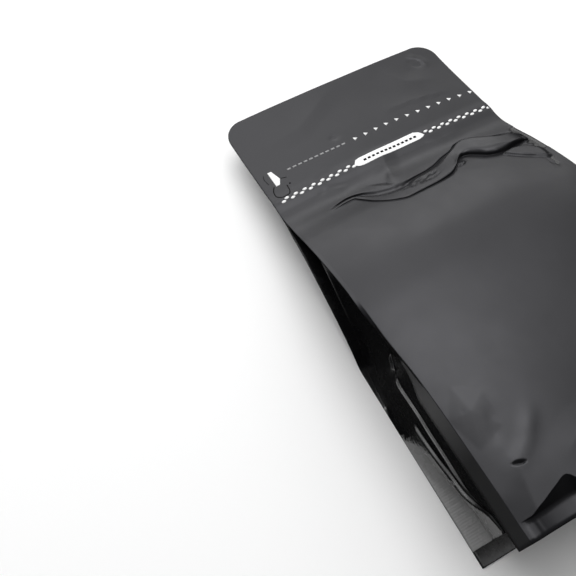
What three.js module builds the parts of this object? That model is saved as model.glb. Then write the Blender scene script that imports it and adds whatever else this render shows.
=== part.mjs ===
// A filled flat-bottom pouch lying on its back panel, shut, as one closed solid.
// Millimetres. X runs across the pouch, Y along it towards the header, Z up.
// The origin is on the surface it lies on, under the middle of the pouch.

import * as THREE from 'three';
import { mergeVertices } from 'three/addons/utils/BufferGeometryUtils.js';

// Driving dimensions
const pouchWidth = 135;
const pouchLength = 260;
const headerLength = 62.3; // from the top edge to the press-to-close zipper
const cornerRadius = 11.5; // the header's two free corners
const lipLength = 8; // seal along the bottom edge of the front and back panels
const frontFin = 7; // side seal along each edge of the front panel
const sealThickness = 1.2;
const headerThickness = 1.6;
const zipperRidge = 0.5; // how far the zipper's ribs lift the film
const zipperWidth = 9;
const shoulderDrop = 6; // step from the front panel down to its bottom seal
const bottomBulge = 2.5;
const valleyDepth = 1.4; // the two creases beside the transverse buckle
const valleyWidth = 2.4;

// How fine the facets are
const panelColumns = 22; // across a panel, between its two side seals
const gussetRows = [0, 0.1, 0.3, 0.5, 0.72, 0.88, 1]; // from front seal to back seal
const centreFold = 0.5; // the gusset's middle crease, as a share of its depth
const lowerFold = 0.72; // the second, smaller crease below it

// Places along the pouch, worked out from the driving dimensions
const topY = pouchLength / 2;
const lipEndY = -pouchLength / 2;
const zipperY = topY - headerLength;
const lipY = lipEndY + lipLength;
const gussetStartY = zipperY - 13.7; // below it the panels part and the gusset shows
const foldZoneEndY = zipperY - 48; // the transverse buckle lies above it
const restStartY = -26; // below it the back panel is flat on the surface
const shoulderY = lipY + 11; // where the front panel starts to drop to its lip

// Smooth line through stops of [place, value], flat past both ends, never overshooting a stop.
function through(stops) {
  const line = [...stops].sort((a, b) => a[0] - b[0]);
  const slopes = line.slice(1).map(([x, v], i) => (v - line[i][1]) / (x - line[i][0]));
  const tangents = line.map((_, i) => {
    const before = slopes[i - 1];
    const after = slopes[i];
    if (before === undefined || after === undefined || before * after <= 0) return 0;
    return (2 * before * after) / (before + after);
  });
  return (place) => {
    if (place <= line[0][0]) return line[0][1];
    const i = line.findIndex(([x], k) => k > 0 && place <= x);
    if (i < 0) return line[line.length - 1][1];
    const [x0, v0] = line[i - 1];
    const [x1, v1] = line[i];
    const width = x1 - x0;
    const t = (place - x0) / width;
    const rise = tangents[i - 1] * width * t * (1 - t) ** 2 - tangents[i] * width * t * t * (1 - t);
    return v0 + (v1 - v0) * t * t * (3 - 2 * t) + rise;
  };
}

const smooth = (t) => {
  const s = Math.min(Math.max(t, 0), 1);
  return s * s * (3 - 2 * s);
};
const mix = (a, b, t) => a + (b - a) * t;

// Height of each panel's side edges, and how far its middle stands above them
const frontEdge = through([
  [topY, 19.6], [zipperY, 27], [58, 28.2], [46, 33], [34, 39], [20, 45],
  [0, 52], [-20, 56.7], [-46, 60], [-62, 61.5], [-80, 62.7], [-100, 64.2], [-112, 64.8], [lipY, 64.4],
]);
const crownPower = 3; // flat in the middle, falling towards the side seals
const frontCrown = through([[topY, 1], [zipperY, 1.2], [40, 3], [0, 6], [-60, 6.5], [lipY, 4.5]]);
const backEdge = through([
  [topY, 19.6 - headerThickness], [zipperY, 27 - headerThickness], [52, 25.6], [37, 23.8],
  [24, 20.3], [11, 16], [-2, 11.5], [-14, 6], [restStartY, 0],
]);
const backCrown = through([[topY, 1], [zipperY, 1.2], [45, -2.5], [20, -4.5], [-5, -5], [restStartY, 0]]);

// Half widths: the front and back seals' inner lines, and the gusset's middle crease
const headerRoot = pouchWidth / 2 - frontFin;
const frontRoot = through([
  [zipperY, headerRoot], [-10, headerRoot], [-30, 62.5], [-46, 64.6], [-62, 63.9], [-80, 63.6], [lipY, 63.2],
]);
const backRoot = through([
  [zipperY, headerRoot], [-10, 62], [restStartY, 64.5], [-45, 66.3], [-62, 65.3], [-80, 63], [-110, 58.5], [lipY, 58],
]);
const gussetCrease = through([
  [gussetStartY, 60], [50, 54], [42, 44], [20, 47], [0, 51.5], [restStartY, 56.7], [-50, 63.6], [-100, 63.8], [lipY, 62],
]);
const lowerCrease = through([[-60, 0], [-75, 0.8], [-98, 1.6], [-106, 0.5], [-114, -1.5]]); // how far it stands out
const finDroop = through([[-2, 0], [-30, 60], [-46, 92], [-52, 85], [-64, 64], [lipY, 60]]); // degrees below the panel

// The transverse buckle below the zipper: a roll of film between two valleys, as lines of [x, y]
const rollUpper = through([[-46, 48], [-33, 49.7], [-21, 46.7], [0, 41.7], [13, 42.7], [30, 49], [44, 47.7], [56, 44]]);
const rollLower = through([[-46, 45], [-34, 46], [-23, 38.7], [-8, 34.7], [8, 34.7], [30, 41.5], [44, 36.7], [56, 33]]);
const rollHeight = through([[-46, 0], [-30, 1.2], [-5, 2.2], [15, 2.4], [30, 2], [46, 3.6], [56, 3.2]]);
const rollPeak = 0.38; // nearer its lower valley
const buckleEdgeFade = 8; // it dies out over this distance from the side seal
const upperCreaseY = 48; // where the valleys' two stations run before they are bent to the lines
const lowerCreaseY = 37;

const awayFromSeal = (x) => smooth((headerRoot - Math.abs(x)) / buckleEdgeFade);

// Bends the stations of the fold zone so that two of them follow the valleys
function alongValleys(x, y) {
  if (y >= gussetStartY || y <= foldZoneEndY) return y;
  const upper = mix(upperCreaseY, rollUpper(x), awayFromSeal(x));
  const lower = mix(lowerCreaseY, rollLower(x), awayFromSeal(x));
  const bends = [[gussetStartY, gussetStartY], [upperCreaseY, upper], [lowerCreaseY, lower], [foldZoneEndY, foldZoneEndY]];
  const i = bends.findIndex(([from], k) => k > 0 && y >= from);
  const [from, to] = bends[i];
  const [fromAbove, toAbove] = bends[i - 1];
  return mix(to, toAbove, (y - from) / (fromAbove - from));
}

function buckle(x, y) {
  const upper = rollUpper(x);
  const lower = rollLower(x);
  const height = rollHeight(x);
  const fade = awayFromSeal(x) * Math.min(height, 1);
  const t = (y - lower) / (upper - lower);
  const rising = t < rollPeak ? t / rollPeak : (1 - t) / (1 - rollPeak);
  const roll = height * smooth(rising);
  const upperValley = Math.exp(-(((y - upper) / valleyWidth) ** 2));
  const lowerValley = Math.exp(-(((y - lower) / valleyWidth) ** 2));
  return fade * (roll - valleyDepth * (upperValley + lowerValley));
}

function zipper(y) {
  return zipperRidge * smooth(1.5 - Math.abs(y - zipperY) / (zipperWidth / 2));
}

function shoulder(share, y) {
  return shoulderDrop * (1 - Math.abs(share) ** 8) * smooth((shoulderY - y) / (shoulderY - lipY));
}

// Columns and stations of both panels. A column is a share of the half width between the seals;
// the two outermost are the seals' free edges.
const columns = Array.from({ length: panelColumns + 3 }, (_, i) => (i - 1) / (panelColumns / 2) - 1);
const lastColumn = columns.length - 1;

function spread(from, to, steps) {
  return Array.from({ length: steps }, (_, i) => mix(from, to, i / steps));
}

const cornerStartY = topY - cornerRadius;
const cornerStations = [90, 66, 44, 22].map((angle) =>
  cornerStartY + cornerRadius * Math.sin(THREE.MathUtils.degToRad(angle)));
const stations = [
  ...cornerStations,
  ...spread(cornerStartY, zipperY + 9, 5),
  ...spread(zipperY + 9, zipperY - 9, 6),
  ...spread(zipperY - 9, gussetStartY, 2),
  ...spread(gussetStartY, upperCreaseY, 3),
  ...spread(upperCreaseY, lowerCreaseY, 6),
  ...spread(lowerCreaseY, foldZoneEndY, 6),
  ...spread(foldZoneEndY, shoulderY, 19),
  ...spread(shoulderY, lipY, 4),
  lipY,
  lipEndY,
];
const gussetStart = stations.indexOf(gussetStartY);
const lipStation = stations.length - 2;
const lastStation = stations.length - 1;

function outline(y) {
  if (y <= cornerStartY) return pouchWidth / 2;
  const up = y - cornerStartY;
  return pouchWidth / 2 - cornerRadius + Math.sqrt(Math.max(cornerRadius ** 2 - up ** 2, 0));
}

const isFin = (column) => column === 0 || column === lastColumn;
const sideOf = (column) => Math.sign(columns[column]);
const bodyY = (station) => Math.max(stations[station], lipY); // the lips keep the end section

function frontHeight(share, x, y) {
  const relief = y > gussetStartY ? zipper(y) : buckle(x, y);
  return frontEdge(y) + frontCrown(y) * (1 - Math.abs(share) ** crownPower) - shoulder(share, y) + relief;
}

function frontPoint(column, station) {
  const y = bodyY(station);
  const narrowing = outline(y) / (pouchWidth / 2);
  const share = THREE.MathUtils.clamp(columns[column], -1, 1);
  const root = frontRoot(y) * narrowing;
  if (!isFin(column)) {
    const x = share * root;
    const bent = alongValleys(x, stations[station]);
    return new THREE.Vector3(x, bent, frontHeight(share, x, Math.max(bent, lipY)));
  }
  const z = frontHeight(share, share * root, y);
  const droop = THREE.MathUtils.degToRad(finDroop(y));
  const fin = frontFin * narrowing;
  return new THREE.Vector3(
    sideOf(column) * (root + fin * Math.cos(droop)), stations[station], z - fin * Math.sin(droop));
}

function backPoint(column, station) {
  const y = bodyY(station);
  const narrowing = outline(y) / (pouchWidth / 2);
  const share = THREE.MathUtils.clamp(columns[column], -1, 1);
  const x = isFin(column) ? sideOf(column) * pouchWidth / 2 : share * backRoot(y);
  const z = Math.max(backEdge(y) + backCrown(y) * (1 - Math.abs(share) ** crownPower), 0);
  return new THREE.Vector3(x * narrowing, stations[station], z);
}

// The inner faces of the seals, one seal thickness inside the panels' outer faces
function frontInner(column, station) {
  const droop = THREE.MathUtils.degToRad(finDroop(bodyY(station)));
  const atRoot = columns[column] === -1 || columns[column] === 1;
  const lean = isFin(column) ? 1 : 0.6 * atRoot;
  const drop = isFin(column) ? Math.cos(droop) : 1;
  const offset = new THREE.Vector3(-sideOf(column) * lean * Math.sin(droop), 0, -drop);
  return frontPoint(column, station).addScaledVector(offset, sealThickness);
}

function backInner(column, station) {
  return backPoint(column, station).add(new THREE.Vector3(0, 0, sealThickness));
}

const tent = (share, fold) => Math.min(share / fold, (1 - share) / (1 - fold));

// Gusset film at a share of its depth, from the front seal's root to the back seal's
function gussetPoint(column, station, share) {
  const front = frontInner(column, station);
  const back = backInner(column, station);
  const side = sideOf(column);
  const y = stations[station];
  const between = mix(Math.abs(front.x), Math.abs(back.x), share);
  const middle = mix(Math.abs(front.x), Math.abs(back.x), centreFold);
  const crease = (gussetCrease(y) - middle) * tent(share, centreFold);
  const fold = lowerCrease(y) * tent(share, lowerFold);
  return new THREE.Vector3(side * (between + crease + fold), y, mix(front.z, back.z, share));
}

// Bottom panel, pushed out a little by the contents, with its own crease across the middle
function bottomPoint(column, share) {
  const front = frontInner(column, lipStation);
  const back = backInner(column, lipStation);
  const edge = Math.abs(gussetPoint(lastColumn - 1, lipStation, share).x);
  const across = columns[column];
  const bulge = bottomBulge * Math.sin(Math.PI * share) * (1 - across ** 4);
  return new THREE.Vector3(across * edge, lipY - bulge, mix(front.z, back.z, share));
}

// The wall between the two panels' free edges, from front to back, at a station or a column
function sideWall(column, station) {
  const front = frontPoint(column, station);
  const back = backPoint(column, station);
  if (station < gussetStart) return [front, back];
  const root = column === 0 ? 1 : lastColumn - 1;
  const wall = [
    frontInner(column, station),
    ...gussetRows.map((share) => gussetPoint(root, station, share)),
    backInner(column, station),
  ];
  if (station > gussetStart) return [front, ...wall, back];
  return [front, ...wall.map((_, i) => front.clone().lerp(back, (i + 1) / (wall.length + 1))), back];
}

function endWall(column) {
  return [
    frontPoint(column, lastStation),
    frontInner(column, lastStation),
    ...gussetRows.map((share) => bottomPoint(column, share)),
    backInner(column, lastStation),
    backPoint(column, lastStation),
  ];
}

// Faces are collected as triangles and welded at the end
const corners = [];
function triangle(a, b, c) {
  for (const point of [a, b, c]) corners.push(point.x, point.y, point.z);
}
function quad(a, b, c, d) {
  triangle(a, b, c);
  triangle(a, c, d);
}
function patch(lines, flipped) {
  for (let i = 0; i + 1 < lines.length; i++) {
    const here = lines[i];
    const next = lines[i + 1];
    for (let j = 0; j + 1 < here.length; j++) {
      if (flipped) quad(here[j], here[j + 1], next[j + 1], next[j]);
      else quad(here[j], next[j], next[j + 1], here[j + 1]);
    }
  }
}

function panels() {
  const lines = (point) => stations.map((_, station) => columns.map((_, column) => point(column, station)));
  patch(lines(frontPoint), false);
  patch(lines(backPoint), true);
}

function headerEdge() {
  patch([columns.map((_, i) => backPoint(i, 0)), columns.map((_, i) => frontPoint(i, 0))], false);
  for (const column of [0, lastColumn]) {
    const flipped = column === 0;
    const walls = stations.slice(0, gussetStart).map((_, station) => sideWall(column, station));
    patch(walls, flipped);
    const [front, back] = walls[gussetStart - 1];
    const opened = sideWall(column, gussetStart);
    const turn = (a, b, c) => (flipped ? triangle(a, c, b) : triangle(a, b, c));
    opened.slice(1).forEach((point, i) => turn(front, opened[i], point));
    turn(front, opened[opened.length - 1], back);
  }
}

function gussets() {
  for (const column of [0, lastColumn]) {
    const walls = stations.slice(gussetStart, lipStation + 1)
      .map((_, i) => sideWall(column, gussetStart + i));
    patch(walls, column === 0);
  }
}

function bottomEnd() {
  const inner = columns.map((_, i) => i).slice(1, lastColumn);
  patch(inner.map(endWall), true);
}

// Where a side seal meets a bottom seal, each panel ends in a small flat corner
function sealCorners() {
  const rings = [
    { outer: frontPoint, inner: frontInner, upper: true },
    { outer: backPoint, inner: backInner, upper: false },
  ];
  for (const { outer, inner, upper } of rings) {
    for (const column of [0, lastColumn]) {
      const root = column === 0 ? 1 : lastColumn - 1;
      const path = [[column, lipStation], [column, lastStation], [root, lastStation]];
      const rim = path.map(([c, s]) => [outer(c, s), inner(c, s)]);
      patch(rim, (column === 0) === upper);
      const under = [...rim.map(([, point]) => point), inner(root, lipStation)];
      if ((column === 0) === upper) under.reverse();
      quad(...under);
    }
  }
}

function filmBody() {
  panels();
  headerEdge();
  gussets();
  bottomEnd();
  sealCorners();
  const loose = new THREE.BufferGeometry();
  loose.setAttribute('position', new THREE.Float32BufferAttribute(corners, 3));
  const welded = mergeVertices(loose, 1e-3);
  welded.computeVertexNormals();
  return welded;
}

const matteBlackFilm = new THREE.MeshStandardMaterial({ color: 0x3a3a3d, roughness: 0.55, metalness: 0 });

const pouch = new THREE.Mesh(filmBody(), matteBlackFilm);
pouch.name = 'pouch';

const object = new THREE.Group();
object.add(pouch);

export default object;
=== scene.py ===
"""A filled flat-bottom pouch of black film, shut and lying on its back on a white table.

Lengths are millimetres in the part's own frame: X across the pouch, Y along it towards the header, Z up.
bent_sheet and printed turn them into metres as they make a piece.
"""

import math

import bmesh
import bpy
import numpy as np
from mathutils import Matrix, Vector


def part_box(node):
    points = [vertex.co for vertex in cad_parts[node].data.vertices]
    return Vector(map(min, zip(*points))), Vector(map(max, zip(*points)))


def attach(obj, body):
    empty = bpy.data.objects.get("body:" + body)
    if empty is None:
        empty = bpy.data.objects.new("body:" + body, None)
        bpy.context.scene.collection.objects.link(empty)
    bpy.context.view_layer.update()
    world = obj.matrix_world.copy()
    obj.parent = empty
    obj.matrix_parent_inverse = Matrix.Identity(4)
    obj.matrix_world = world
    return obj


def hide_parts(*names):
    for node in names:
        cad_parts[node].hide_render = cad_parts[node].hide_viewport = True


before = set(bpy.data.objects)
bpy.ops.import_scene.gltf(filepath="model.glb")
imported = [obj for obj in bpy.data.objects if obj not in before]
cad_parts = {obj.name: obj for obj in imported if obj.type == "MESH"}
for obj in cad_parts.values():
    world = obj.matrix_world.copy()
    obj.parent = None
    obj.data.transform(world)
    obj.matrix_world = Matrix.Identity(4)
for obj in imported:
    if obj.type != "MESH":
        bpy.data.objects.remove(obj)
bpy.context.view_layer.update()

MM = 0.001

# Driving dimensions, the same as the solid's
low_corner, high_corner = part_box("pouch")
pouch_width = (high_corner.x - low_corner.x) / MM
pouch_length = (high_corner.y - low_corner.y) / MM
header_length = 62.3  # from the top edge to the press-to-close zipper
corner_radius = 11.5
lip_length = 8
front_fin = 7  # width of the sealed strip along each side of the front panel

# Of the drawn film alone
film = 0.3  # thickness of one laminate film, twice its real one
lip_lift = 0.1  # how steeply the front lip rises outwards

# Places along the pouch
top_y = pouch_length / 2
corner_start_y = top_y - corner_radius
zipper_y = top_y - header_length
gusset_start_y = zipper_y - 13.7
fold_zone_end_y = zipper_y - 48  # the front panel is buckled from the zipper down to here
rest_start_y = -26  # the back panel lies on the table from here down
lip_end_y = -pouch_length / 2
lip_y = lip_end_y + lip_length

# Places across it
side_x = pouch_width / 2
header_root = side_x - front_fin  # inner line of the header's side seals


# ---- Plain helpers -------------------------------------------------------------------------------------

def smooth(t):
    s = np.clip(t, 0, 1)
    return s * s * (3 - 2 * s)


def mix(a, b, t):
    return a + (b - a) * t


def bell(distance, width):
    return np.exp(-((distance / width) ** 2))


def through(stops):
    """Smooth line through (place, value) stops, flat past both ends, never overshooting a stop."""
    at, value = np.array(sorted(stops), float).T
    step = np.diff(at)
    slope = np.diff(value) / step
    before, after = slope[:-1], slope[1:]
    turns = before * after <= 0
    tangent = np.zeros(len(at))
    tangent[1:-1] = np.where(turns, 0, 2 * before * after / np.where(turns, 1, before + after))

    def line(place):
        place = np.clip(place, at[0], at[-1])
        i = np.clip(np.searchsorted(at, place) - 1, 0, len(step) - 1)
        t = (place - at[i]) / step[i]
        rise = step[i] * (tangent[i] * t * (1 - t) ** 2 - tangent[i + 1] * t * t * (1 - t))
        return value[i] + (value[i + 1] - value[i]) * t * t * (3 - 2 * t) + rise

    return line


def beside(x, y, line):
    """Distance from a line of (x, y) points, above 0 on its left, and the share of it passed, 0 to 1."""
    reach = np.cumsum([0] + [math.dist(a, b) for a, b in zip(line, line[1:])])
    best = np.full(np.shape(x), 1e9)
    passed = np.zeros(np.shape(x))
    for (ax, ay), (bx, by), start in zip(line, line[1:], reach):
        dx, dy = bx - ax, by - ay
        t = np.clip(((x - ax) * dx + (y - ay) * dy) / (dx * dx + dy * dy), 0, 1)
        away_x, away_y = x - ax - t * dx, y - ay - t * dy
        distance = np.hypot(away_x, away_y) * np.where(dx * away_y - dy * away_x < 0, -1, 1)
        nearer = np.abs(distance) < np.abs(best)
        best = np.where(nearer, distance, best)
        passed = np.where(nearer, (start + t * math.hypot(dx, dy)) / reach[-1], passed)
    return best, passed


def crumple(x, y, size, seed):
    """Even, repeatable unevenness between about -1 and 1, with waves of about that size."""
    draw = np.random.default_rng(seed)
    total = 0
    for _ in range(7):
        angle, phase = draw.uniform(0, 2 * math.pi, 2)
        wave = 2 * math.pi / (size * draw.uniform(0.7, 1.5))
        total = total + np.sin(wave * (x * math.cos(angle) + y * math.sin(angle)) + phase)
    return total / 3


def veins(x, y, size, seed):
    """A net of narrow lines, 0 to 1, where the unevenness of that size changes sign."""
    return bell(crumple(x, y, size, seed), width=0.4)


# ---- Marks that handling leaves in film ----------------------------------------------------------------

def fading(passed, share=0.25):
    """A mark dies out towards both its ends, over that share of its length."""
    return smooth(passed / share) * smooth((1 - passed) / share)


def ledge(distance, height, run, reach):
    """The film steps out to its height over a short run, and comes back slowly past it."""
    return height * smooth(0.5 + distance / run) * np.exp(-np.maximum(distance, 0) / reach)


def scarp(x, y, line, height, reach, edge=0.5):
    """Film stands proud on a line's left: it drops steeply at the line and slowly away from it."""
    distance, passed = beside(x, y, line)
    return ledge(distance, height * fading(passed), edge, reach)


def crease(x, y, line, height, left, right):
    """A sharp fold with a plane on either side, each dying out over its own width."""
    distance, passed = beside(x, y, line)
    slope = np.maximum(1 - distance / np.where(distance > 0, left, -right), 0)
    return height * fading(passed, share=0.4) * slope**1.3


def swell(x, y, line, height, width):
    """A soft ridge along a line, or a hollow where its height is below 0."""
    distance, passed = beside(x, y, line)
    return height * fading(passed, share=0.4) * bell(distance, width)


def lobe(x, y, line, half_width, edge):
    """1 near a line, 0 past half_width from it, with a soft edge."""
    distance, _ = beside(x, y, line)
    return smooth((half_width - np.abs(distance)) / edge)


def dent(x, y, middle, depth, width, stretch=1):
    """A dimple, drawn out along X by its stretch."""
    return -depth * bell(np.hypot((x - middle[0]) / stretch, y - middle[1]), width)


def pocket(x, y, middle, half_width, half_length, lean, depth):
    """A lens-shaped dent, deepest along its near edge, that leans over by so much along X."""
    across = (x - middle[0]) / half_width
    along = (y - middle[1] - lean * (x - middle[0])) / half_length
    edge = np.sqrt(np.clip(1 - across**2, 0, 1))
    return -depth * np.clip((edge - along) / 2, 0, 1) * smooth((along + edge) / 0.3)


def facets(x, y, corners, peak, height):
    """A low pyramid of flat faces between these corners."""
    share = np.ones(np.shape(x))
    for (ax, ay), (bx, by) in zip(corners, corners[1:] + corners[:1]):
        across = (bx - ax) * (y - ay) - (by - ay) * (x - ax)
        share = np.minimum(share, across / ((bx - ax) * (peak[1] - ay) - (by - ay) * (peak[0] - ax)))
    return height * np.clip(share, 0, 1)


# ---- The pouch's form ----------------------------------------------------------------------------------

# Height of each panel's side edges, and how far its middle stands above them
front_edge = through([
    (top_y, 19.6), (zipper_y, 27), (58, 28.2), (46, 33), (34, 39), (20, 45), (0, 52), (-20, 56.7), (-46, 60),
    (-62, 61.5), (-80, 62.7), (-100, 63.5), (-112, 63.9), (lip_y, 63.8),
])
crown_power = 3  # the higher, the flatter the panels' middles
front_crown = through([(top_y, 1), (zipper_y, 1.2), (40, 3), (0, 6), (-60, 6.5), (-100, 6.8), (lip_y, 6.8)])
back_edge = through([(52, 25.6), (37, 23.8), (24, 20.3), (11, 16), (-2, 11.5), (-14, 6), (rest_start_y, 0)])
back_crown = through([(gusset_start_y, 0), (45, -2.5), (20, -4.5), (-5, -5), (rest_start_y, 0)])

# Half widths: the front and back seals' inner lines, and the gusset's middle crease
front_root = through([
    (zipper_y, header_root), (-37, header_root), (-49, 62.6), (-62, 62.5), (-80, 62.2), (lip_y, 61.8),
])
back_root = through([
    (zipper_y, header_root), (-10, 62), (rest_start_y, 64.5), (-45, 66.3), (-62, 65.3), (-80, 63),
    (-110, 58.5), (lip_y, 58),
])
gusset_crease = through([
    (gusset_start_y, 60), (50, 54), (42, 44), (20, 47), (0, 51.5), (rest_start_y, 56.7), (-50, 63.6),
    (-100, 63.8), (lip_y, 62),
])
lower_crease = through([(-60, 0), (-75, 0.8), (-98, 1.6), (-106, 0.5), (-114, -1.5)])

# The front fin folds down about a line, with so much of it hanging, at so many degrees
fin_fold = through([
    (-2, 65.5), (-16, 65.9), (-28, 66), (-41, 65.3), (-48, 64.6), (-62, 63.9), (-80, 63.6), (lip_y, 63.2),
])
fin_hang = through([(-14, 2), (-41, 2.2), (-48, 4.5), (-62, front_fin), (lip_y, front_fin)])
fin_droop = through([(-2, 0), (-14, 30), (-30, 86), (-48, 84), (-53, 78), (-64, 58), (lip_y, 52)])
fold_column = 1.5  # the column of the front panel that lies on that line
crown_reach = through([(-15, side_x), (-60, 64.2), (lip_y, 63.2)])  # half the width that is crowned

# The transverse buckle below the zipper: a roll of film, steep on its lower side, that rises out of a dip.
# Its two sides, its height, and how far over from the lower side its crest lies
roll_lower = through([
    (-46, 46.6), (-42, 46.8), (-36, 47.2), (-32.4, 47.2), (-29.3, 43.6), (-25.2, 38.2), (-17.6, 32.7),
    (-10.7, 30.2), (-3.5, 30.4), (5.7, 30.7), (14.7, 32), (19, 34.2), (23.9, 38.6), (28.5, 41.4), (31, 41),
    (35, 37.4), (38.6, 33.6), (43.2, 31.8), (47.5, 31.4), (54.5, 32.4), (60.7, 33), (66, 32),
])
roll_upper = through([
    (-46, 49.2), (-42, 49.6), (-33.5, 51), (-26.6, 49.9), (-19.2, 46.4), (-11.2, 43.9), (-3.6, 43.4),
    (5.9, 43.7), (12.9, 44.8), (20.7, 48), (28.1, 50.2), (33.2, 53.2), (38.8, 54), (44.2, 52), (50.1, 48.4),
    (55, 46.8), (59.7, 45), (66.8, 41.4),
])
roll_height = through([
    (-45, 0), (-37, 0.9), (-25, 0.9), (-10, 1.1), (5, 1.4), (14, 1.8), (22, 2.8), (29, 3.6), (37, 5.2),
    (46, 5.4), (54, 4.8), (59, 3.6), (63, 1.6),
])
roll_crest = through([
    (-30, 0.4), (-14, 0.6), (2, 0.74), (24, 0.74), (30, 0.8), (34, 0.82), (38, 0.78), (43.5, 0.68),
    (47, 0.63), (53, 0.58),
])
# The lower side rises at once by about this share of the height, within that share of its way to the crest
roll_step = through([(-30, 0.96), (20, 0.96), (30, 0.7), (38, 0.76), (60, 0.76)])
step_share = through([(24, 0.14), (36, 0.42), (46, 0.42), (53, 0.2)])
# The dip along the upper side, and how wide it is
dip_depth = through([
    (-45, 0), (-38, 1.1), (-28, 1.7), (-18, 1.9), (-4, 1.5), (8, 1), (28, 0.9), (36, 0.9), (48, 0.8),
    (60, 0.7), (66, 0.4),
])
dip_run = through([(-40, 0.7), (-30, 1.2), (-20, 3.5), (-8, 3), (2, 0.8), (28, 0.5), (48, 0.5), (58, 0.8)])
edge_fade = 6  # the roll dies out that far from the panel's sides

# The tongue's height at its lower fold, what it gains further up and over how far, and its edges' width
tongue_height, tongue_gain, tongue_run, tongue_edge = 1.5, 0.2, 7, 0.8

# Depths of the fine crinkles on the roll and of the coarse ones at its right end
fine_depth, coarse_depth = 0.7, 3

# Beside its right end the film stands up along one line and falls away past another, each over a width
brim_x, brim_height, brim_width = 63.2, 0.5, 1.4
fall_x, fall_drop, fall_width = 63.6, 2, 3.6

# Lines that these marks follow
tongue_lower = [(45, 30.4), (47, 27.4), (51, 23.3), (57.1, 18.6), (62.5, 14.6)]
tongue_upper = [(45, 30.4), (51.2, 31.2), (58.4, 29.6), (63.2, 24), (62.5, 14.6)]
edge_crinkles = [(65.5, 43), (65.2, 34), (65.6, 27)]
side_crinkles = [(61, 5.6), (62.8, 11.5), (63.8, 15.6), (65, 20.5)]
spur = [(20, 36.4), (22, 35.5), (25, 35.3), (27.5, 36)]
roll_crinkles = [(-9, 39), (-1, 37.6), (8, 37.4)]
lower_left_ridge = [(-57, -112), (-53, -106), (-49.5, -102), (-43, -97.4), (-37, -90.5), (-32, -82)]


def outline(y):
    """Half the pouch's width; the header's two free corners are round."""
    up = np.clip(y - corner_start_y, 0, corner_radius)
    return side_x - corner_radius + np.sqrt(corner_radius**2 - up**2)


def narrowing(y):
    """That half width as a share of the full one."""
    return outline(y) / side_x


def roll(x, y):
    upper, lower = roll_upper(x), roll_lower(x)
    height, dip = roll_height(x), dip_depth(x)
    foot = upper - dip_run(x)
    crest = mix(lower, foot, roll_crest(x))
    climb = np.clip((y - lower) / (crest - lower), 0, 1)
    at_once = np.sqrt(1 - (1 - np.minimum(climb / step_share(x), 1)) ** 2)
    steep = height * at_once * mix(roll_step(x), 1, climb)
    gentle = mix(height, -dip, smooth((y - crest) / (foot - crest)))
    drop = -dip * smooth((upper - y) / (upper - foot))
    return np.where(y < crest, steep, np.where(y < foot, gentle, drop))


def buckle(x, y):
    """The roll, the tongue that folds out under its right end, and the crinkles about them."""
    fade = smooth((side_x - np.abs(x)) / edge_fade)
    above_lower = beside(x, y, tongue_lower)[0]
    below_upper = -beside(x, y, tongue_upper)[0]
    tongue = tongue_height + tongue_gain * smooth(above_lower / tongue_run)
    tongue = tongue * smooth(0.5 + above_lower / tongue_edge) * smooth(below_upper / tongue_edge)
    hook = scarp(x, y, spur, height=1.9, reach=1.6)
    fine = -fine_depth * lobe(x, y, roll_crinkles, half_width=3.4, edge=2) * veins(x, y, size=5, seed=9)
    coarse = -coarse_depth * lobe(x, y, edge_crinkles, half_width=3.6, edge=2)
    coarse = coarse * veins(x, 0.5 * y, size=4.5, seed=5)
    over_edge = brim_height * bell(x - brim_x, brim_width) - fall_drop * smooth((x - fall_x) / fall_width)
    over_edge = over_edge * lobe(x, y, edge_crinkles, half_width=5, edge=3)
    frayed = scarp(x, y, side_crinkles, height=-1, reach=2.5, edge=1)
    frayed = frayed * (0.7 + 0.6 * crumple(x, y, size=2.4, seed=7))
    return fade * (roll(x, y) + tongue + fine + hook) + coarse + over_edge + frayed


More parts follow.
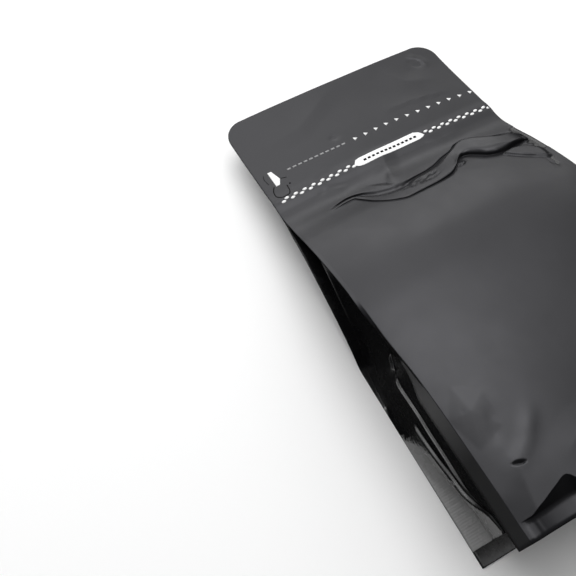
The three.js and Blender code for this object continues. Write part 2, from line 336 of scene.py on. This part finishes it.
def handling(x, y):
    """Creases, dents and facets in the rest of the front panel.

    A crease's line is followed by its height and its reach to the left and right, a scarp's by its height
    and reach, a swell's by its height and width, and a dent's middle by its depth, width and stretch.
    """
    header = (
        scarp(x, y, [(14, 93), (21, 93.4), (26.7, 93.1), (40, 91.6), (57, 88.8)], 0.4, 5, 0.7)
        + crease(x, y, [(-58, 104), (-30, 108), (-8, 121), (14, 128)], 0.5, 14, 9)
        + crease(x, y, [(30, 124), (40, 108), (60, 100)], 0.45, 9, 12)
        + dent(x, y, (54, 119), 0.9, 3.6)
        + crease(x, y, [(50, 126), (56.5, 120), (59, 112)], 0.8, 4, 3)
        + dent(x, y, (-17, 91.8), 0.5, 1.3, 2)
        + scarp(x, y, [(-43, 72.1), (-36, 72.5), (-29, 72.4)], 0.3, 3)
    )
    below_zipper = (
        facets(x, y, [(-3.4, 63.5), (-21, 52.5), (-10.6, 43.4)], (-12.6, 48), -0.8)
        + crease(x, y, [(0.5, 76), (-3.4, 63.5), (-10.6, 43.4), (-13, 36)], 1.4, 8, 16)
        + crease(x, y, [(-44, 64.5), (-38, 61), (-27, 57)], 0.5, 4, 7)
        + dent(x, y, (-41, 62), 0.5, 1.5, 1.6)
        + crease(x, y, [(20, 64), (32, 61), (48, 62)], 0.4, 4, 8)
    )
    lower_left = (
        facets(x, y, [(-55.6, -63.8), (-64, -76), (-60, -92), (-47, -88), (-45.5, -72.2)], (-54.2, -77), 0.8)
        + pocket(x, y, (-50.6, -103), half_width=2.6, half_length=1, lean=-0.34, depth=2)
        + swell(x, y, lower_left_ridge, 0.65, 3.4)
        + swell(x, y, [(-47.5, -77), (-50.5, -86), (-54, -95)], -0.4, 2.6)
        + crease(x, y, [(-53, -92), (-51.8, -106), (-54.8, -119), (-58, -140)], 0.6, 12, 8)
        + crease(x, y, [(-38, -112), (-22, -104), (-4, -101)], 0.5, 10, 8)
        + dent(x, y, (-57.2, -75.6), 0.12, 0.7)
    )
    lower_right = (
        crease(x, y, [(52, -104), (44, -92), (38, -76)], 0.7, 9, 7)
        + facets(x, y, [(50, -62), (58, -70), (49, -82), (43, -72)], (51, -71), 0.6)
    )
    return header + below_zipper + lower_left + lower_right


strip_height, strip_half_width, strip_slope = 0.4, 6.75, 4.5
track_height, track_offset, track_width = 0.12, 1.7, 0.8


def zipper(y):
    """The press-to-close strips under the film: a low plateau with a fine track along each half."""
    away = np.abs(y - zipper_y)
    plateau = strip_height * smooth((strip_half_width - away) / strip_slope)
    return plateau + track_height * bell(away - track_offset, track_width)


# By distance from the middle: where the panel bends down to the bottom seal, and how far it drops there
shoulder_start = through([
    (0, -113.6), (20, -115.5), (32, -118.6), (35.7, -117.8), (37.4, -115.4), (39, -115), (43, -116.3),
    (46.6, -117.6), (50.2, -119), (54.4, -120.4), (58, -121.6),
])
shoulder_drop = through([(0, 7), (38, 6.9), (42, 6.5), (46, 5.9), (50, 5), (54, 3.6), (58, 1.7), (62, 0)])


def shoulder(x, y):
    """How far the panel has dropped towards the bottom seal, past a crisp bend."""
    start = shoulder_start(np.abs(x))
    passed = np.clip((start - y) / np.maximum(start - lip_y, 0.5), 0, 1)
    return shoulder_drop(np.abs(x)) * passed


def panel_height(x, y):
    """The front panel without its folds and marks."""
    share = np.minimum(np.abs(x) / (crown_reach(y) * narrowing(y)), 1)
    crowned = front_edge(y) + front_crown(y) * (1 - share**crown_power)
    return crowned - shoulder(x, y) + zipper(y)


def marked_height(x, y):
    """The whole front panel. The marks of handling die out a millimetre inside its sides."""
    within = smooth((side_x - 1 - np.abs(x)) / 5)
    return panel_height(x, y) + within * handling(x, y) + buckle(x, y)


def front_point(column, y, height=panel_height, inset=0):
    """A place that far inside the front panel's outer face.

    Column 0 is the panel's middle, and past 1 or -1 a column is on its side seal's fin.
    """
    body_y = np.maximum(y, lip_y)
    side, share = np.sign(column), np.minimum(np.abs(column), 1)
    to_fold = np.minimum((np.abs(column) - share) / (fold_column - 1), 1)
    past_fold = np.maximum(np.abs(column) - fold_column, 0) / (2 - fold_column)
    x = (share * front_root(body_y) + to_fold * (fin_fold(body_y) - front_root(body_y))) * narrowing(y)
    hanging = past_fold * fin_hang(body_y) * narrowing(y)
    droop = np.radians(fin_droop(body_y))
    turned = droop * smooth(past_fold * 4)  # wholly, a quarter of the way out
    z = height(side * x, body_y) + lip_lift * (body_y - y) - hanging * np.sin(droop) - inset * np.cos(turned)
    return side * (x + hanging * np.cos(droop) - inset * np.sin(turned)), y, z


parting_y, parted_y = zipper_y - 6, 46  # the back film leaves the front film between them


def back_point(column, y):
    """A place on the back panel's outer face, in columns like the front's.

    In the header it lies on the front film.
    """
    body_y = np.maximum(y, lip_y)
    share = np.clip(column, -1, 1)
    root = back_root(body_y)
    x = (share * root + (column - share) * (side_x - root)) * narrowing(y)
    low = np.maximum(back_edge(body_y) + back_crown(body_y) * (1 - np.abs(share) ** crown_power), 0)
    together = front_point(column, y)[2] - 2 * film
    parted = smooth((parting_y - y) / (parting_y - parted_y))
    return x, y, mix(together, low, parted)


# ---- Making the pieces ---------------------------------------------------------------------------------

def bent_sheet(name, cells, shape, thickness, materials, sealed=lambda u, v: False):
    """A sheet of film: a flat grid, bent by shape.

    shape gives X, Y and Z for places u across and v along, 0 to 1. Where sealed holds, the film has its
    second material.
    """
    bm = bmesh.new()
    bmesh.ops.create_grid(bm, x_segments=cells[0], y_segments=cells[1], size=0.5)
    for face in bm.faces:
        u, v, _ = face.calc_center_median()
        face.material_index = int(sealed(u + 0.5, v + 0.5))
    flat = np.array([vertex.co for vertex in bm.verts])
    bent = np.stack(np.broadcast_arrays(*shape(flat[:, 0] + 0.5, flat[:, 1] + 0.5)), axis=1) * MM
    for vertex, point in zip(bm.verts, bent):
        vertex.co = point
    return finished(name, bm, thickness, materials)


def finished(name, bm, thickness, materials):
    """Makes the piece, its film or ink that thick below the drawn face."""
    for face in bm.faces:
        face.smooth = True
    mesh = bpy.data.meshes.new(name)
    bm.to_mesh(mesh)
    bm.free()
    for material in materials:
        mesh.materials.append(material)
    piece = bpy.data.objects.new(name, mesh)
    bpy.context.scene.collection.objects.link(piece)
    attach(piece, "root")
    wall = piece.modifiers.new("Thickness", "SOLIDIFY")
    wall.thickness = thickness * MM
    wall.offset = -1
    return piece


def spaced(stretches):
    """Maps 0 to 1 onto stretches of (end, cells) after a start, each stretch with its own number of cells."""
    start = stretches[0]
    ends = [start] + [end for end, _ in stretches[1:]]
    counts = np.cumsum([0] + [cells for _, cells in stretches[1:]])
    return (lambda t: np.interp(t, counts / counts[-1], ends)), int(counts[-1])


quarter_turn = 90
fin_bend_y = -44  # below it the front fins hang down, and their pressed seal shows

# Stations are places along the plain pouch. On the front panel two of them follow the roll's sides, and one
# follows the bend above the bottom seal, with its neighbours pulled along up to the settled station
lower_station, upper_station = 36, 46
bend_station, settled_station = -117, -108
panel_column, panel_across = spaced([
    -2, (-1.56, 4), (-1.44, 3), (-1, 3), (-0.74, 22), (-0.2, 30), (0.2, 28), (0.6, 25), (1, 36), (1.44, 3),
    (1.56, 3), (2, 4),
])
panel_station, panel_along = spaced([
    lip_end_y, (lip_y, 4), (bend_station - 0.6, 7), (bend_station, 3), (bend_station + 0.4, 3),
    (settled_station, 9), (-105.6, 4), (-100.6, 14), (-60, 42), (4, 32), (fold_zone_end_y, 16), (26, 10),
    (lower_station, 22), (lower_station + 0.5, 5), (38.2, 7), (44.6, 18), (upper_station, 9), (54, 12),
    (66, 14), (71, 10), (corner_start_y, 36), (corner_start_y + quarter_turn, 14),
])
back_column, back_across = spaced([-2, (-1, 4), (1, 60), (2, 4)])
back_station, back_along = spaced([
    lip_end_y, (lip_y, 3), (rest_start_y, 26), (gusset_start_y, 50), (71, 16), (corner_start_y, 24),
    (corner_start_y + quarter_turn, 14),
])


def round_corner(station):
    """Stations past the corner's start are degrees of its arc."""
    turned = np.clip(station - corner_start_y, 0, quarter_turn)
    return np.minimum(station, corner_start_y) + corner_radius * np.sin(np.radians(turned))


def along_roll(x, y):
    """Moves the stations between the header and the fold zone's end so that two follow the roll's sides."""
    lower, upper = roll_lower(x), roll_upper(x)
    below = mix(fold_zone_end_y, lower, (y - fold_zone_end_y) / (lower_station - fold_zone_end_y))
    between = mix(lower, upper, (y - lower_station) / (upper_station - lower_station))
    above = mix(upper, zipper_y, (y - upper_station) / (zipper_y - upper_station))
    bent = np.where(y < lower_station, below, np.where(y < upper_station, between, above))
    return np.where((y > fold_zone_end_y) & (y < zipper_y), bent, y)


def along_bend(x, y):
    """Moves the stations next to the bottom seal so that one follows the bend above it."""
    start = shoulder_start(np.abs(x))
    below = mix(lip_y, start, (y - lip_y) / (bend_station - lip_y))
    above = mix(start, settled_station, (y - bend_station) / (settled_station - bend_station))
    return np.where((y > lip_y) & (y < settled_station), np.where(y < bend_station, below, above), y)


def front_panel(material, painted_reflection_seal):
    def shape(u, v):
        column, y = panel_column(u), round_corner(panel_station(v))
        x = front_point(column, y)[0]
        return front_point(column, along_bend(x, along_roll(x, y)), marked_height)

    def on_fin(u, v):
        return abs(panel_column(u)) > fold_column and panel_station(v) < fin_bend_y

    cells = (panel_across, panel_along)
    return bent_sheet("front_panel", cells, shape, film, [material, painted_reflection_seal], on_fin)


def back_panel(material):
    def shape(u, v):
        return back_point(-back_column(u), round_corner(back_station(v)))

    return bent_sheet("back_panel", (back_across, back_along), shape, film, [material])


# Where the gusset's two folds lie, as shares of its film from the front seal to the back seal
centre_fold = through([(-30, 0.5), (-50, 0.46), (-70, 0.44), (-92, 0.41)])
lower_fold = through([(-54, 0.66), (-67, 0.64), (-80, 0.6), (-97, 0.51), (-110, 0.49)])
# Both folds are ledges: the film steps out by that much over a short run, and back in over its reach
upper_ledge = through([
    (-30, 0), (-33, 2), (-38, 2), (-40.4, 0.2), (-42.4, 0.1), (-45, 1.9), (-90, 1.7), (-98, 0.9), (-104, 0.2),
])
upper_run, upper_reach = 0.4, 2.2
lower_ledge = through([(-60, 0), (-67, 2.4), (-100, 2.8), (-112, 2), (lip_y, 1)])
lower_run, lower_reach = 0.9, 3
# Fine wrinkles run down to the back seal, and the film comes down onto it in a slope
wrinkle_height = through([(-118, 0), (-110, 0.08), (-72, 0.08), (-56, 0)])
wrinkle_share, wrinkle_width = 0.86, 0.14
slope_height = through([(-60, 4.5), (-44, 0)])
slope_start = 0.76
# Ribs that the jaws pressed across the seal
rib_pitch, rib_height = 1.3, 0.03

# Shares as if the folds lay at 0.5 and 0.7, with fine rows along both
even_centre, even_lower = 0.5, 0.7
gusset_share, gusset_cells = spaced([
    -1, (-0.56, 3), (-0.44, 3), (0, 4), (0.47, 10), (0.49, 5), (0.51, 12), (0.56, 8), (0.67, 5), (0.69, 4),
    (0.74, 16), (0.8, 4), (0.95, 9), (1.05, 6), (2, 10),
])
gusset_station, gusset_along = spaced([lip_y, (-45, 230), (gusset_start_y, 74)])


def tent(share, fold):
    """1 at a fold, and straight down to 0 at both seals."""
    return np.minimum(share / fold, (1 - share) / (1 - fold))


def gusset_point(side, share, y):
    """A place on the gusset's film.

    Shares of -1 to 0 are sealed under the front fin, 0 to 1 hang free, and 1 to 2 are sealed on the back
    fin.
    """
    on_front = np.clip(-share, 0, 1)
    on_back = np.clip(share - 1, 0, 1)
    free = np.clip(share, 0, 1)
    top_x, _, top_z = front_point(1 + on_front, y, inset=2 * film)
    base_x, _, base_z = back_point(1 + on_back, y)
    base_z = base_z + 2 * film
    between = mix(top_x, base_x, free)
    centre, lower = centre_fold(y), lower_fold(y)
    middle = mix(front_root(y), back_root(y), centre)
    folded = (gusset_crease(y) - middle) * tent(free, centre) + lower_crease(y) * tent(free, lower)
    depth = np.maximum(top_z - base_z, 1)
    folded = folded + ledge((free - centre) * depth, upper_ledge(y), upper_run, upper_reach)
    folded = folded + ledge((free - lower) * depth, lower_ledge(y), lower_run, lower_reach)
    wrinkled = wrinkle_height(y) * bell(free - wrinkle_share, wrinkle_width)
    wrinkled = wrinkled * crumple(y, 60 * free, size=2, seed=3)
    slope = slope_height(y) * smooth((free - slope_start) / (1 - slope_start)) * (1 - on_back) ** 1.4
    ribs = rib_height * smooth(on_back * 6) * np.cos(2 * math.pi * y / rib_pitch)
    return side * (between + folded + wrinkled), y, mix(top_z, base_z, free) + ribs + slope


def along_folds(share, y):
    """Moves the rows between the two seals so that they follow both folds."""
    centre, lower = centre_fold(y), lower_fold(y)
    above = centre * share / even_centre
    between = mix(centre, lower, (share - even_centre) / (even_lower - even_centre))
    below = mix(lower, 1, (share - even_lower) / (1 - even_lower))
    moved = np.where(share < even_centre, above, np.where(share < even_lower, between, below))
    return np.where((share > 0) & (share < 1), moved, share)


def gusset(side, name, material):
    def shape(u, v):
        y = gusset_station(v)
        return gusset_point(side, along_folds(gusset_share(u if side > 0 else 1 - u), y), y)

    return bent_sheet(name, (gusset_cells, gusset_along), shape, film, [material])


bottom_bulge = 2.5  # how far the bottom's middle stands out
bottom_share, bottom_rows = spaced([-1, (-0.01, 14), (0, 1), (1, 36), (2, 14)])
bottom_cells = 110


def bottom_point(across, share):
    """A place on the bottom's film, -1 to 1 across.

    Shares of -1 to 0 are sealed on the back lip, 0 to 1 are the bottom, and 1 to 2 are sealed under the front
    lip.
    """
    on_back = np.clip(-share, 0, 1)
    on_front = np.clip(share - 1, 0, 1)
    rise = np.clip(share, 0, 1)
    y = lip_y - lip_length * (on_back + on_front)
    reach = np.where(on_back > 0, side_x - film, gusset_point(1, 1 - rise, lip_y + 0 * rise)[0])
    x = across * reach
    low = 2 * film
    high = panel_height(x, lip_y + 0 * y) - 2 * film
    bulge = bottom_bulge * np.sin(math.pi * rise) * (1 - across**4)
    return x, y - bulge, mix(low, high, rise) + lip_lift * lip_length * on_front


def bottom_panel(material):
    def shape(u, v):
        return bottom_point(2 * u - 1, bottom_share(v))

    return bent_sheet("bottom_panel", (bottom_cells, bottom_rows), shape, film, [material])


# ---- Print on the header -------------------------------------------------------------------------------

ink = 0.04  # how thick each layer is drawn
ink_gap = 0.02  # between the film and the first layer


def printed(name, bm, material, layer=1):
    """Lays flat shapes, drawn in the XY plane, on the front panel."""
    flat = np.array([vertex.co for vertex in bm.verts])
    height = marked_height(flat[:, 0], flat[:, 1]) + ink_gap + layer * ink
    for vertex, z in zip(bm.verts, height):
        vertex.co = (vertex.co.x * MM, vertex.co.y * MM, z * MM)
    return finished(name, bm, ink, [material])


def put(bm, verts, place, turn=0.0, size=(1, 1)):
    """Scales, turns and moves flat vertices made about the origin."""
    bmesh.ops.scale(bm, verts=verts, vec=(*size, 1))
    bmesh.ops.rotate(bm, verts=verts, cent=(0, 0, 0), matrix=Matrix.Rotation(math.radians(turn), 3, "Z"))
    bmesh.ops.translate(bm, verts=verts, vec=(*place, 0))


def blob(bm, place, size, turn=0.0, sides=10):
    """A small round or, with three sides, three-cornered mark that points along -Y."""
    made = bmesh.ops.create_circle(bm, cap_ends=True, cap_tris=True, segments=sides, radius=1)
    bmesh.ops.rotate(bm, verts=made["verts"], cent=(0, 0, 0), matrix=Matrix.Rotation(math.pi, 3, "Z"))
    put(bm, made["verts"], place, turn, size)


def cut_to(bm, corners):
    """Trims everything in the plane to a convex outline, its corners given anticlockwise."""
    for (ax, ay), (bx, by) in zip(corners, corners[1:] + corners[:1]):
        bmesh.ops.bisect_plane(
            bm, geom=bm.verts[:] + bm.edges[:] + bm.faces[:], plane_co=(ax, ay, 0),
            plane_no=(by - ay, ax - bx, 0), clear_outer=True)


def patch(corners, cell):
    """A flat patch with this convex outline, fine enough to follow the film."""
    xs, ys = zip(*corners)
    bm = bmesh.new()
    width, length = max(xs) - min(xs), max(ys) - min(ys)
    bmesh.ops.create_grid(bm, x_segments=round(width / cell), y_segments=round(length / cell), size=0.5)
    put(bm, bm.verts[:], ((max(xs) + min(xs)) / 2, (max(ys) + min(ys)) / 2), size=(width, length))
    cut_to(bm, corners)
    return bm


def stroke(bm, line, width, cells):
    """A drawn line of even width, smooth through its points."""
    reach = np.cumsum([0] + [math.dist(a, b) for a, b in zip(line, line[1:])])
    line_x = through([(at, x) for at, (x, _) in zip(reach, line)])
    line_y = through([(at, y) for at, (_, y) in zip(reach, line)])
    made = bmesh.ops.create_grid(bm, x_segments=cells, y_segments=2, size=0.5)
    step = reach[-1] / 100
    for vertex in made["verts"]:
        at = (vertex.co.x + 0.5) * reach[-1]
        run_x, run_y = line_x(at + step) - line_x(at - step), line_y(at + step) - line_y(at - step)
        side = vertex.co.y * width / math.hypot(run_x, run_y)
        vertex.co = (line_x(at) - run_y * side, line_y(at) + run_x * side, 0)


# Both rows bow slightly across the header
arrow_row = through([(-8, 85.2), (13, 85.8), (33, 84.8), (52.8, 83.8), (65.6, 82.6)])
arrow_pitch, arrow_size, arrow_turn = 6.69, (1.5, 1.4), -28
mark_row = through([(-62, 67.4), (-34, 68), (-18, 68.7), (26, 68.8), (42, 68.6), (66, 67.8)])
mark_pitch, mark_size, mark_turn = 5.35, (1.38, 0.82), 8


def tear_arrows(material):
    bm = bmesh.new()
    for i in range(12):
        x = -8 + arrow_pitch * i
        blob(bm, (x, arrow_row(x)), arrow_size, arrow_turn, sides=3)
    return printed("tear_arrows", bm, material)


def zipper_marks(material):
    """Two staggered rows, each broken by the banner."""
    bm = bmesh.new()
    for start, count, rise in ((-61.8, 9, -0.65), (29.2, 8, -0.65), (-59.4, 8, 0.75), (26.7, 8, 0.75)):
        for i in range(count):
            x = start + mark_pitch * i
            blob(bm, (x, mark_row(x) + rise), mark_size, mark_turn, sides=8)
    return printed("zipper_marks", bm, material)


def zipper_banner(material):
    banner = [
        (-18.6, 68.4), (-16.8, 66.8), (-14.3, 66), (20.9, 66.3), (23.4, 66.9), (25, 67.9), (22.9, 70.9),
        (20.4, 72.3), (-14.1, 71.9), (-16.4, 71.3),
    ]
    return printed("zipper_banner", patch(banner, cell=0.6), material)


def dashes(start, y, count, pitch, length, width):
    """A row of dashes along X."""
    bm = bmesh.new()
    for i in range(count):
        x = start + pitch * i
        stroke(bm, [(x, y), (x + length, y)], width, 3)
    return bm


def banner_dashes(material):
    row = dashes(start=-12.6, y=69, count=13, pitch=2.6, length=1.6, width=1.3)
    return printed("banner_dashes", row, material, layer=2)


def opening_dashes(material):
    row = dashes(start=-50, y=85.1, count=11, pitch=3.35, length=2.2, width=1.1)
    return printed("opening_dashes", row, material)


def tear_tab(material):
    tab = [(-60.2, 88.6), (-60.3, 77.9), (-58.1, 78), (-56.2, 81.7), (-58, 88.4)]
    return printed("tear_tab", patch(tab, cell=0.5), material)


def tear_cut(material):
    """The die-cut slit about the pull tab, the short lines beside it and a dot."""
    bm = bmesh.new()
    slit = [
        (-61.5, 78.2), (-63.4, 75), (-63.7, 72.3), (-62.5, 70.4), (-60, 69.5), (-57, 69.9), (-55.5, 72.4),
        (-55.1, 76),
    ]
    stroke(bm, slit, width=0.55, cells=40)
    stroke(bm, [(-55.9, 81.7), (-52.6, 80.8)], width=0.35, cells=5)
    stroke(bm, [(-62.9, 88), (-63.7, 85.1), (-63.1, 81)], width=0.3, cells=10)
    blob(bm, (-53.2, 76.2), (0.5, 0.5))
    return printed("tear_cut", bm, material)


# ---- Finishes ------------------------------------------------------------------------------------------

class Finish:
    """A material's nodes, with short ways to add what these finishes are made of."""

    def __init__(self, name):
        self.material = bpy.data.materials.new(name)
        self.material.use_nodes = True
        self.tree = self.material.node_tree
        self.shader = self.tree.nodes["Principled BSDF"]
        self.place = self.add("ShaderNodeTexCoord").outputs["Object"]

    def add(self, kind, **values):
        node = self.tree.nodes.new(kind)
        for name, value in values.items():
            setattr(node, name, value)
        return node

    def join(self, output, entry):
        self.tree.links.new(output, entry)

    def noise(self, size_mm, detail=3, stretch=(1, 1, 1)):
        """Cloudy unevenness of about that size, 0 to 1."""
        mapping = self.add("ShaderNodeMapping")
        mapping.inputs["Scale"].default_value = stretch
        self.join(self.place, mapping.inputs["Vector"])
        texture = self.add("ShaderNodeTexNoise")
        texture.inputs["Scale"].default_value = 1 / (size_mm * MM)
        texture.inputs["Detail"].default_value = detail
        self.join(mapping.outputs["Vector"], texture.inputs["Vector"])
        return texture.outputs["Fac"]

    def between(self, amount, low, high):
        """Spreads an amount that runs from 0.3 to 0.7 over low to high."""
        spread = self.add("ShaderNodeMapRange")
        for entry, value in (("From Min", 0.3), ("From Max", 0.7), ("To Min", low), ("To Max", high)):
            spread.inputs[entry].default_value = value
        self.join(amount, spread.inputs["Value"])
        return spread.outputs["Result"]

    def graded(self, direction, start, end):
        """0 to 1 between two places along a direction, in mm."""
        along = self.add("ShaderNodeVectorMath", operation="DOT_PRODUCT")
        along.inputs[1].default_value = direction
        self.join(self.place, along.inputs[0])
        return self.passing(along.outputs["Value"], start * MM, end * MM)

    def passing(self, amount, start, end):
        """0 to 1 as an amount passes from start to end."""
        spread = self.add("ShaderNodeMapRange")
        spread.inputs["From Min"].default_value = start
        spread.inputs["From Max"].default_value = end
        self.join(amount, spread.inputs["Value"])
        return spread.outputs["Result"]

    def combine(self, operation, first, second):
        node = self.add("ShaderNodeMath", operation=operation)
        self.join(first, node.inputs[0])
        self.join(second, node.inputs[1])
        return node.outputs["Value"]

    def painted_reflection_mask(self):
        """Where the table's reflection is painted: a fine speckle that thickens along the gusset and down to
        the back seal, below the lower crease.
        """
        along_seal = self.graded((0, -0.95, -1), 51, 67)
        below_crease = self.graded((0, 0, -1), -34, -29)
        reached = self.combine("MULTIPLY", along_seal, below_crease)
        speckle = self.combine("ADD", reached, self.noise(1, 4, (1, 0.7, 1)))
        return self.passing(speckle, 0.75, 1.25)

    def colours(self, amount, low, high):
        """Base colour from one to the other as an amount runs from 0.3 to 0.7."""
        ramp = self.add("ShaderNodeValToRGB")
        for element, place, colour in zip(ramp.color_ramp.elements, (0.3, 0.7), (low, high)):
            element.position = place
            element.color = (*colour, 1)
        self.join(amount, ramp.inputs["Fac"])
        self.join(ramp.outputs["Color"], self.shader.inputs["Base Color"])

    def bump(self, layers):
        """Relief from (amount, height in mm) layers, one on another."""
        normal = None
        for amount, height in layers:
            node = self.add("ShaderNodeBump")
            node.inputs["Distance"].default_value = height * MM
            self.join(amount, node.inputs["Height"])
            if normal:
                self.join(normal, node.inputs["Normal"])
            normal = node.outputs["Normal"]
        self.join(normal, self.shader.inputs["Normal"])


def soft_touch_film():
    """Matte black laminate: a fine grain, faint cloudiness and slightly uneven sheen."""
    finish = Finish("soft_touch_film")
    finish.colours(finish.noise(30), (0.008, 0.008, 0.0088), (0.011, 0.011, 0.0122))
    finish.join(finish.between(finish.noise(12, 5), 0.31, 0.37), finish.shader.inputs["Roughness"])
    finish.shader.inputs["Specular IOR Level"].default_value = 0.34
    finish.shader.inputs["Specular Tint"].default_value = (0.95, 0.95, 1, 1)
    finish.bump([(finish.noise(26, 2), 0.25), (finish.noise(0.35, 2), 0.008)])
    return finish.material


def seal_with_painted_reflection():
    """The matte laminate where the hot jaws pressed it, with fine cross lines, its colour a painted
    reflection of the table that grows paler towards the header end.
    """
    finish = Finish("seal_with_painted_reflection")
    # painted reflection: the base colour grows paler towards the header end in place of the table's
    # reflection
    finish.colours(finish.graded((0, 1, 0), -112, -50), (0.016, 0.016, 0.0165), (0.058, 0.058, 0.059))
    finish.shader.inputs["Roughness"].default_value = 0.45
    finish.shader.inputs["Specular IOR Level"].default_value = 0.34
    finish.bump([(finish.noise(0.9, 1, (0.2, 1, 0.2)), 0.03)])
    return finish.material


def glossy_film(name, painted_reflection=False):
    """Shiny black laminate with fine ripples from filling; where asked, a pale painted reflection of the
    table is speckled on towards the back seal.
    """
    finish = Finish(name)
    # painted reflection: a pale base colour near the back seal stands in for the table's reflection
    if painted_reflection:
        finish.colours(finish.painted_reflection_mask(), (0.004, 0.004, 0.0045), (0.22, 0.22, 0.22))
    else:
        finish.colours(finish.noise(18), (0.003, 0.003, 0.0035), (0.005, 0.005, 0.0055))
    finish.join(finish.between(finish.noise(7, 4), 0.2, 0.32), finish.shader.inputs["Roughness"])
    finish.shader.inputs["Specular IOR Level"].default_value = 0.5
    finish.bump([(finish.noise(9, 3, (1, 0.4, 1)), 0.2), (finish.noise(0.5, 2), 0.01)])
    return finish.material


def white_ink():
    """Flat white ink, very slightly uneven where it was laid down."""
    finish = Finish("white_ink")
    finish.colours(finish.noise(1.2, 4), (0.72, 0.72, 0.72), (0.82, 0.82, 0.82))
    finish.join(finish.between(finish.noise(0.8), 0.5, 0.62), finish.shader.inputs["Roughness"])
    finish.bump([(finish.noise(0.3), 0.01)])
    return finish.material


def grey_ink():
    """Thin pale ink through which the film shows."""
    finish = Finish("grey_ink")
    finish.colours(finish.noise(0.8, 4), (0.18, 0.18, 0.185), (0.28, 0.28, 0.285))
    finish.shader.inputs["Roughness"].default_value = 0.55
    return finish.material


def black_ink():
    finish = Finish("black_ink")
    finish.colours(finish.noise(0.8, 4), (0.002, 0.002, 0.002), (0.005, 0.005, 0.005))
    finish.shader.inputs["Roughness"].default_value = 0.7
    finish.shader.inputs["Specular IOR Level"].default_value = 0.1
    return finish.material


# ---- Table, light and camera ---------------------------------------------------------------------------

table_size = 3000  # from its middle to each side
table_gap = 0.1  # keeps it clear of the back panel


def table():
    """A matte white table that doesn't show in the film's reflections."""
    bm = bmesh.new()
    bmesh.ops.create_grid(bm, x_segments=4, y_segments=4, size=table_size * MM)
    bmesh.ops.translate(bm, verts=bm.verts, vec=(0, 0, -table_gap * MM))
    mesh = bpy.data.meshes.new("table")
    bm.to_mesh(mesh)
    bm.free()
    piece = bpy.data.objects.new("table", mesh)
    bpy.context.scene.collection.objects.link(piece)
    finish = Finish("white_table")
    finish.shader.inputs["Base Color"].default_value = (0.9, 0.9, 0.9, 1)
    finish.shader.inputs["Roughness"].default_value = 0.9
    finish.shader.inputs["Specular IOR Level"].default_value = 0
    mesh.materials.append(finish.material)
    piece.visible_glossy = False


def softbox(name, place, aim, size, watts):
    """A rectangular lamp, its place, aim and size in metres."""
    light = bpy.data.lights.new(name, "AREA")
    light.shape = "RECTANGLE"
    light.size, light.size_y = size
    light.energy = watts
    holder = bpy.data.objects.new(name, light)
    holder.location = place
    holder.rotation_mode = "QUATERNION"
    holder.rotation_quaternion = (Vector(place) - Vector(aim)).to_track_quat("Z", "Y")
    bpy.context.scene.collection.objects.link(holder)


def studio():
    middle = (0, 0, 0)
    softbox("far_softbox", (0.35, 0.95, 1.0), middle, (2.2, 1.8), 15.5)
    softbox("overhead_softbox", (0.05, 0.05, 1.5), middle, (1.3, 0.7), 7.7)
    softbox("high_softbox", (0, 0.6, 1.35), middle, (1.4, 0.6), 7.4)
    softbox("back_softbox", (0, 1, 1), middle, (1, 0.7), 2.4)
    softbox("low_softbox", (0.1, 1.4, 0.45), middle, (1.4, 0.6), 4.7)
    softbox("right_softbox", (1.1, 1.25, 0.3), middle, (0.9, 0.45), 1.5)
    softbox("left_softbox", (-0.9, 0.1, 1.2), middle, (0.7, 1), 2.7)
    world = bpy.data.worlds.new("room")
    bpy.context.scene.world = world
    world.use_nodes = True
    background = world.node_tree.nodes["Background"]
    background.inputs["Color"].default_value = (1, 1, 1, 1)
    background.inputs["Strength"].default_value = 0.02
    bpy.context.scene.view_settings.view_transform = "Standard"


# The photo's view: from above the near left, turned by so much about the vertical and looking down
view_place = (-160.89, -120.07, 356.64)
view_turn, view_elevation = -28.5, 63.8
sensor_width, focal_length = 36, 47.06


def camera():
    turn, elevation = math.radians(view_turn), math.radians(view_elevation)
    back = Vector((
        math.sin(turn) * math.cos(elevation), -math.cos(turn) * math.cos(elevation), math.sin(elevation),
    ))
    lens = bpy.data.cameras.new("photo_view")
    lens.sensor_width = sensor_width
    lens.lens = focal_length
    lens.clip_start = 0.01
    lens.clip_end = 20
    holder = bpy.data.objects.new("photo_view", lens)
    holder.location = Vector(view_place) * MM
    holder.rotation_mode = "QUATERNION"
    holder.rotation_quaternion = back.to_track_quat("Z", "Y")
    bpy.context.scene.collection.objects.link(holder)
    bpy.context.scene.camera = holder


# ---- The scene -----------------------------------------------------------------------------------------

camera()
table()
studio()

# the seal material's paler colour is a painted reflection of the table
matte, seal = soft_touch_film(), seal_with_painted_reflection()
gloss, gloss_with_painted_reflection = glossy_film("glossy_film"), glossy_film("gusset_film_painted_reflection", painted_reflection=True)
white, grey, black = white_ink(), grey_ink(), black_ink()
pieces = [
    front_panel(matte, seal),
    back_panel(matte),
    gusset(-1, "left_gusset", gloss_with_painted_reflection),
    gusset(1, "right_gusset", gloss_with_painted_reflection),
    bottom_panel(gloss),
]
for piece in pieces:
    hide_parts("pouch")

tear_arrows(white)
zipper_marks(white)
zipper_banner(white)
banner_dashes(black)
opening_dashes(grey)
tear_tab(white)
tear_cut(black)
